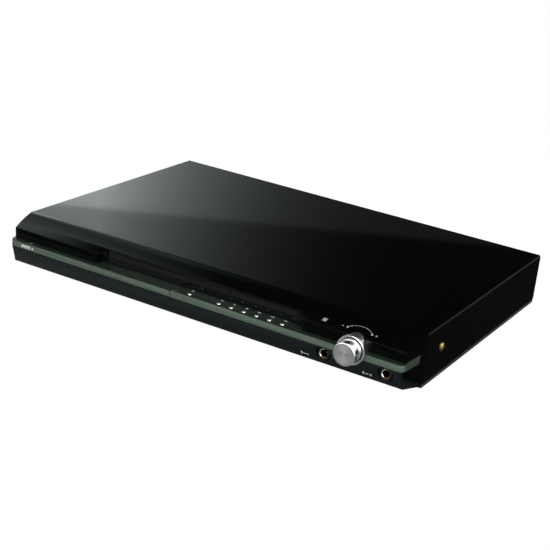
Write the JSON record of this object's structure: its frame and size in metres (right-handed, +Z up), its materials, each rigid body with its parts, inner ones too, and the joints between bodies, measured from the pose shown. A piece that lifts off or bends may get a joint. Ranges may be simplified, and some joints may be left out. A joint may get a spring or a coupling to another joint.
{
  "type": "dvd player with tray",
  "caption": "Slim black disc player with a sliding disc tray behind a front slot, a metallic ledge of dome keys, a volume knob and microphone jacks.",
  "frame": {"origin": "middle of the bounding box at the soles of the feet", "axes": "+X to the right seen from the front, +Y to the rear, +Z up"},
  "size_m": [0.4326, 0.33, 0.0563],
  "materials": {
    "cover_paint": "black, semi-gloss, fine grain",
    "chassis_steel": "zinc-plated sheet",
    "rear_paint": "matt black",
    "bezel_plastic": "piano black",
    "ledge_metal": "satin metallic grey-green",
    "smoked_window": "smoked, polished",
    "display_glass": "fluorescent display with its holder",
    "door_plastic": "black, polished",
    "tray_plastic": "black, fine grain",
    "frame_plastic": "dark grey moulding",
    "gear_plastic": "natural acetal",
    "belt_rubber": "matt",
    "motor_can": "plated can",
    "traverse_metal": "pressed sheet",
    "turntable_plastic": "black with a rubber face",
    "pickup_casting": "fine die casting",
    "lens_glass": "coated",
    "rod_steel": "ground",
    "bridge_steel": "plated sheet",
    "circuit_board": "green solder mask",
    "power_laminate": "tan laminate",
    "transformer_core": "taped and varnished",
    "capacitor_sleeve": "dark blue sleeve",
    "switch_plastic": "black",
    "knob_metal": "spun face, polished side",
    "shaft_metal": "turned",
    "pot_metal": "plated",
    "collar_metal": "polished ring, turned body",
    "jack_metal": "nose plated, body black",
    "key_chrome": "polished",
    "lamp_plastic": "red, unlit",
    "foot_rubber": "matt",
    "socket_plastic": "coloured rings, plated barrels",
    "digital_plastic": "black",
    "inlet_plastic": "black",
    "screw_brass": "yellow passivated",
    "screw_steel": "plated",
    "cable_white": "white, flat"
  },
  "bodies": {
    "case": {"top_cover": "cover_paint", "chassis_base": "chassis_steel", "rear_panel": "rear_paint", "front_bezel": "bezel_plastic", "ledge_trim_left": "ledge_metal", "ledge_trim_right": "ledge_metal", "display_window": "smoked_window", "display_module": "display_glass", "loader_frame": "frame_plastic", "loading_belt": "belt_rubber", "loading_motor": "motor_can", "clamp_bridge": "bridge_steel", "main_board": "circuit_board", "power_board": "power_laminate", "transformer": "transformer_core", "smoothing_capacitors": "capacitor_sleeve", "mic_board": "circuit_board", "key_board": "circuit_board", "tact_switches": "switch_plastic", "volume_pot": "pot_metal", "volume_collar": "collar_metal", "mic_jack_1": "jack_metal", "mic_jack_2": "jack_metal", "power_switch": "switch_plastic", "standby_lamp": "lamp_plastic", "foot_1": "foot_rubber", "foot_2": "foot_rubber", "foot_3": "foot_rubber", "foot_4": "foot_rubber", "av_sockets": "socket_plastic", "digital_sockets": "digital_plastic", "mains_inlet": "inlet_plastic", "cover_screws": "screw_brass", "inner_screws": "screw_steel", "ribbon_cable": "cable_white"},
    "tray": {"tray_door": "door_plastic", "disc_tray": "tray_plastic"},
    "tray_gear": {"tray_gear": "gear_plastic"},
    "pulley_gear": {"pulley_gear": "gear_plastic"},
    "motor_pulley": {"motor_pulley": "gear_plastic"},
    "traverse": {"traverse_chassis": "traverse_metal", "spindle_motor": "motor_can", "guide_rods": "rod_steel", "sled_motor": "motor_can"},
    "turntable": {"turntable": "turntable_plastic"},
    "pickup": {"pickup_body": "pickup_casting"},
    "lens": {"pickup_lens": "lens_glass"},
    "lead_screw": {"lead_screw": "rod_steel"},
    "clamper": {"clamper": "turntable_plastic"},
    "knob": {"volume_knob": "knob_metal", "volume_shaft": "shaft_metal"},
    "power_bar": {"power_bar": "key_chrome"},
    "eject_key": {"eject_key": "key_chrome"},
    "transport_key_1": {"transport_key_1": "key_chrome"},
    "transport_key_2": {"transport_key_2": "key_chrome"},
    "transport_key_3": {"transport_key_3": "key_chrome"},
    "transport_key_4": {"transport_key_4": "key_chrome"},
    "transport_key_5": {"transport_key_5": "key_chrome"},
    "transport_key_6": {"transport_key_6": "key_chrome"}
  },
  "joints": [
    {"name": "tray_slide", "type": "slide", "parent": "case", "child": "tray", "axis": [0, -1, 0], "range_m": [0, 0.135]},
    {"name": "tray_gear_spin", "type": "hinge", "parent": "case", "child": "tray_gear", "pos_m": [-0.11306, -0.105, 0.039], "axis": [0, 0, 1], "range_deg": [-775.5, 2]},
    {"name": "pulley_gear_spin", "type": "hinge", "parent": "case", "child": "pulley_gear", "pos_m": [-0.11306, -0.0842, 0.035], "axis": [0, 0, 1], "range_deg": [-2, 2580.3]},
    {"name": "motor_pulley_spin", "type": "hinge", "parent": "case", "child": "motor_pulley", "pos_m": [-0.122, -0.049, 0.032], "axis": [0, 0, 1], "range_deg": [-2, 8231.4]},
    {"name": "traverse_tilt", "type": "hinge", "parent": "case", "child": "traverse", "pos_m": [-0.0375, 0.016, 0.03375], "axis": [1, 0, 0], "range_deg": [0, 4]},
    {"name": "turntable_spin", "type": "hinge", "parent": "traverse", "child": "turntable", "pos_m": [-0.0375, -0.065, 0.038], "axis": [0, 0, 1], "continuous": true},
    {"name": "clamper_spin", "type": "hinge", "parent": "case", "child": "clamper", "pos_m": [-0.0375, -0.065, 0.049], "axis": [0, 0, 1], "continuous": true},
    {"name": "pickup_slide", "type": "slide", "parent": "traverse", "child": "pickup", "axis": [0, 1, 0], "range_m": [0, 0.034]},
    {"name": "lead_screw_spin", "type": "hinge", "parent": "traverse", "child": "lead_screw", "pos_m": [-0.017, -0.025, 0.031], "axis": [0, 1, 0], "range_deg": [-2, 4082]},
    {"name": "lens_focus", "type": "slide", "parent": "pickup", "child": "lens", "axis": [0, 0, 1], "range_m": [-0.0005, 0.0005], "stiffness_N_per_m": 60},
    {"name": "volume_turn", "type": "hinge", "parent": "case", "child": "knob", "pos_m": [0.1625, -0.155, 0.0378], "axis": [0, 1, 0], "range_deg": [-140, 140]},
    {"name": "power_press", "type": "slide", "parent": "case", "child": "power_bar", "axis": [0, 1, 0], "range_m": [0, 0.0015], "stiffness_N_per_m": 800, "springref_m": -0.0015},
    {"name": "eject_press", "type": "slide", "parent": "case", "child": "eject_key", "axis": [0, 0, -1], "range_m": [0, 0.0008], "stiffness_N_per_m": 800, "springref_m": -0.0008},
    {"name": "transport_key_1_press", "type": "slide", "parent": "case", "child": "transport_key_1", "axis": [0, 0, -1], "range_m": [0, 0.0008], "stiffness_N_per_m": 800, "springref_m": -0.0008},
    {"name": "transport_key_2_press", "type": "slide", "parent": "case", "child": "transport_key_2", "axis": [0, 0, -1], "range_m": [0, 0.0008], "stiffness_N_per_m": 800, "springref_m": -0.0008},
    {"name": "transport_key_3_press", "type": "slide", "parent": "case", "child": "transport_key_3", "axis": [0, 0, -1], "range_m": [0, 0.0008], "stiffness_N_per_m": 800, "springref_m": -0.0008},
    {"name": "transport_key_4_press", "type": "slide", "parent": "case", "child": "transport_key_4", "axis": [0, 0, -1], "range_m": [0, 0.0008], "stiffness_N_per_m": 800, "springref_m": -0.0008},
    {"name": "transport_key_5_press", "type": "slide", "parent": "case", "child": "transport_key_5", "axis": [0, 0, -1], "range_m": [0, 0.0008], "stiffness_N_per_m": 800, "springref_m": -0.0008},
    {"name": "transport_key_6_press", "type": "slide", "parent": "case", "child": "transport_key_6", "axis": [0, 0, -1], "range_m": [0, 0.0008], "stiffness_N_per_m": 800, "springref_m": -0.0008}
  ],
  "couplings": [
    {"joint": "tray_gear_spin", "follows": "tray_slide", "rad_per_m": -100},
    {"joint": "pulley_gear_spin", "follows": "tray_slide", "rad_per_m": 333.33},
    {"joint": "motor_pulley_spin", "follows": "tray_slide", "rad_per_m": 1063.9},
    {"joint": "clamper_spin", "follows": "turntable_spin", "ratio": 1},
    {"joint": "lead_screw_spin", "follows": "pickup_slide", "rad_per_m": 2094.4}
  ]
}
